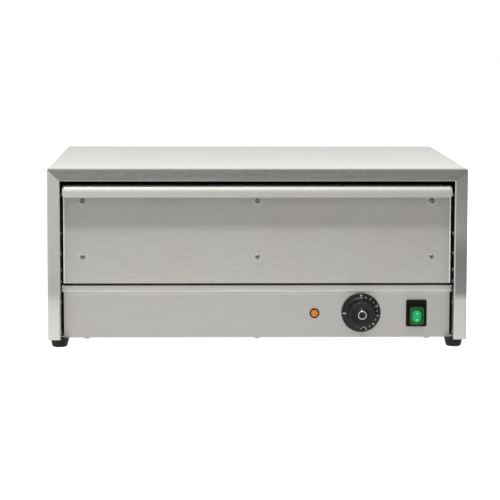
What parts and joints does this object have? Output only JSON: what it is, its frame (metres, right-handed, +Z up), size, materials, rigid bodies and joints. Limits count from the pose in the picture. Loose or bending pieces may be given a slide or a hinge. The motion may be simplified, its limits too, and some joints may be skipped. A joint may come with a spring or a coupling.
{
  "type": "hot towel cabinet",
  "caption": "Stainless countertop warming cabinet with one pull-out drawer over a recessed control panel, used to keep rolled towels hot and moist.",
  "frame": {"origin": "on the standing surface, below the centre of the overall box", "axes": "+X to the right seen from the front, the front faces -Y, +Z up"},
  "size_m": [0.53, 0.418, 0.228],
  "materials": {
    "brushed_stainless": "brushed stainless sheet, fine straight grain",
    "plain_stainless": "mill-finish stainless sheet",
    "bright_fasteners": "bright stainless screws and rivets",
    "zinc_slides": "bright zinc-plated steel",
    "bearing_steel": "polished balls in a pressed cage",
    "foot_rubber": "black moulded rubber",
    "insulation_blanket": "mineral wool blanket with a dark glass-tissue face",
    "element_sheath": "heat-darkened steel sheath",
    "spreader_aluminium": "plain aluminium sheet",
    "black_plastic": "black moulded nylon, fine satin",
    "knob_plastic": "black phenolic, soft gloss, white printed scale",
    "chrome_cap": "satin chrome disc",
    "copper_tube": "drawn copper tube",
    "amber_lens": "translucent amber lens",
    "switch_green": "translucent green rocker",
    "silicone_boot": "clear silicone boot with a green cast",
    "terminal_plastic": "cream polyamide",
    "earth_brass": "brass stud and nuts",
    "wire_insulation": "silicone-sleeved wires"
  },
  "bodies": {
    "root": {"outer_casing": "brushed_stainless", "front_stiffener_left": "plain_stainless", "front_stiffener_right": "plain_stainless", "frame_rivets": "bright_fasteners", "base_plate": "plain_stainless", "base_screws": "bright_fasteners", "rear_panel": "plain_stainless", "rear_panel_screws": "bright_fasteners", "chamber_liner": "plain_stainless", "insulation_wrap": "insulation_blanket", "insulation_rear": "insulation_blanket", "front_rail": "brushed_stainless", "control_panel": "brushed_stainless", "foot_front_left": "foot_rubber", "foot_front_right": "foot_rubber", "foot_rear_left": "foot_rubber", "foot_rear_right": "foot_rubber", "foot_screws": "bright_fasteners", "slide_outer_left": "zinc_slides", "slide_outer_right": "zinc_slides", "slide_rivets": "bright_fasteners", "heating_element": "element_sheath", "heater_brackets": "plain_stainless", "heat_spreader": "spreader_aluminium", "thermal_cutout": "black_plastic", "thermostat_body": "black_plastic", "thermostat_capillary": "copper_tube", "sensing_bulb": "copper_tube", "pilot_lamp_bezel": "black_plastic", "pilot_lamp_lens": "amber_lens", "pilot_lamp_body": "black_plastic", "switch_housing": "black_plastic", "switch_boot": "silicone_boot", "terminal_block": "terminal_plastic", "earth_stud": "earth_brass", "cable_gland": "black_plastic", "gland_dome_nut": "black_plastic", "gland_locknut": "black_plastic", "wiring_harness": "wire_insulation"},
    "drawer": {"drawer_box": "plain_stainless", "drawer_front": "brushed_stainless", "drawer_front_screws": "bright_fasteners", "drawer_front_nuts": "bright_fasteners", "slide_inner_left": "zinc_slides", "slide_inner_right": "zinc_slides", "tub_rivets": "bright_fasteners"},
    "middle_left": {"slide_middle_left": "zinc_slides", "ball_cages_left": "bearing_steel"},
    "middle_right": {"slide_middle_right": "zinc_slides", "ball_cages_right": "bearing_steel"},
    "knob": {"thermostat_knob": "knob_plastic", "knob_cap": "chrome_cap", "thermostat_spindle": "zinc_slides"},
    "switch": {"switch_rocker": "switch_green"}
  },
  "joints": [
    {"name": "drawer_slide", "type": "slide", "parent": "root", "child": "drawer", "axis": [0, -1, 0], "range_m": [0, 0.3]},
    {"name": "slide_middle_left_slide", "type": "slide", "parent": "root", "child": "middle_left", "axis": [0, -1, 0], "range_m": [0, 0.15]},
    {"name": "slide_middle_right_slide", "type": "slide", "parent": "root", "child": "middle_right", "axis": [0, -1, 0], "range_m": [0, 0.15]},
    {"name": "thermostat_turn", "type": "hinge", "parent": "root", "child": "knob", "pos_m": [0.1324, -0.185, 0.04275], "axis": [0, 1, 0], "range_deg": [0, 270]},
    {"name": "power_switch_rock", "type": "hinge", "parent": "root", "child": "switch", "pos_m": [0.2032, -0.183, 0.0396], "axis": [1, 0, 0], "range_deg": [-16, 0]}
  ],
  "couplings": [
    {"joint": "slide_middle_left_slide", "follows": "drawer_slide", "ratio": 0.5},
    {"joint": "slide_middle_right_slide", "follows": "drawer_slide", "ratio": 0.5}
  ]
}
